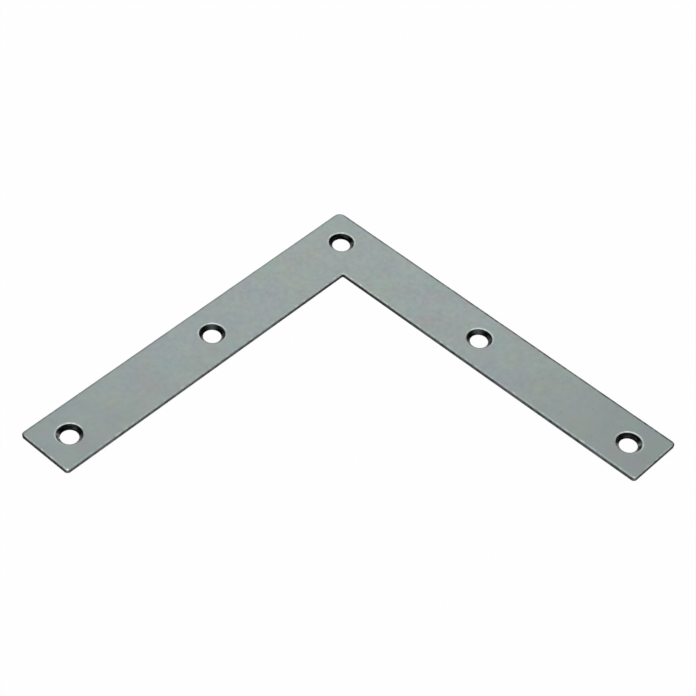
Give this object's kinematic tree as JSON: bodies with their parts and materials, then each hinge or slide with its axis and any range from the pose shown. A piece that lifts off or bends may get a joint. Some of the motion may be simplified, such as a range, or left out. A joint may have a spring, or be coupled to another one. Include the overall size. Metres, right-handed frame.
{
  "type": "flat corner brace bracket",
  "caption": "Flat L-shaped corner brace stamped from sheet steel, with countersunk screw holes along both legs, for joining two boards at a right angle.",
  "frame": {"origin": "corner hole's axis, on the flat back face", "axes": "+X along one leg's hole line, +Y along the other leg's hole line, +Z out of the countersunk front face"},
  "size_m": [0.102, 0.102, 0.0011],
  "materials": {
    "zinc_plate": "satin bright zinc plating, cool grey, with a faint mottle and darker sheared edges"
  },
  "bodies": {
    "root": {"corner_brace": "zinc_plate"}
  },
  "joints": []
}
